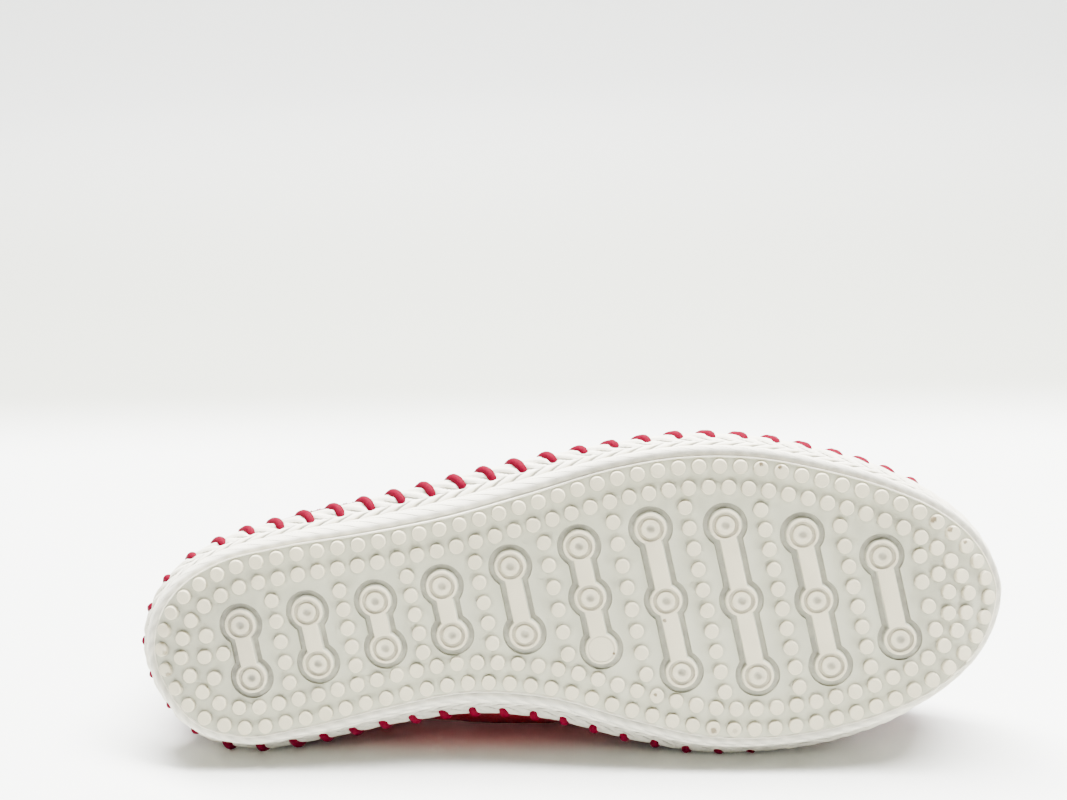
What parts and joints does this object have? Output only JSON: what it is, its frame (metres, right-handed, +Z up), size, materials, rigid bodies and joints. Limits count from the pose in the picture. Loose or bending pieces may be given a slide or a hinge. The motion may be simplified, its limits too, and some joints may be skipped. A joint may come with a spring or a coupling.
{
  "type": "leather slip-on shoe",
  "caption": "Right-foot leather slip-on lying on its inner side, with a moulded rubber cup sole that has studs, disc links, a rope roll and a braided rim.",
  "frame": {"origin": "middle of the foot of the shoe's box, on the floor that the shoe lies on", "axes": "+X from heel to toe, +Y from the sole towards the collar, +Z up, with the inner side of the foot down"},
  "size_m": [0.254, 0.0724, 0.0935],
  "materials": {
    "sole": "matt moulded rubber, off-white",
    "upper": "smooth red leather, satin",
    "insole": "plain tan leather, matt"
  },
  "bodies": {
    "root": {"sole": "sole", "upper": "upper", "insole": "insole"}
  },
  "joints": []
}
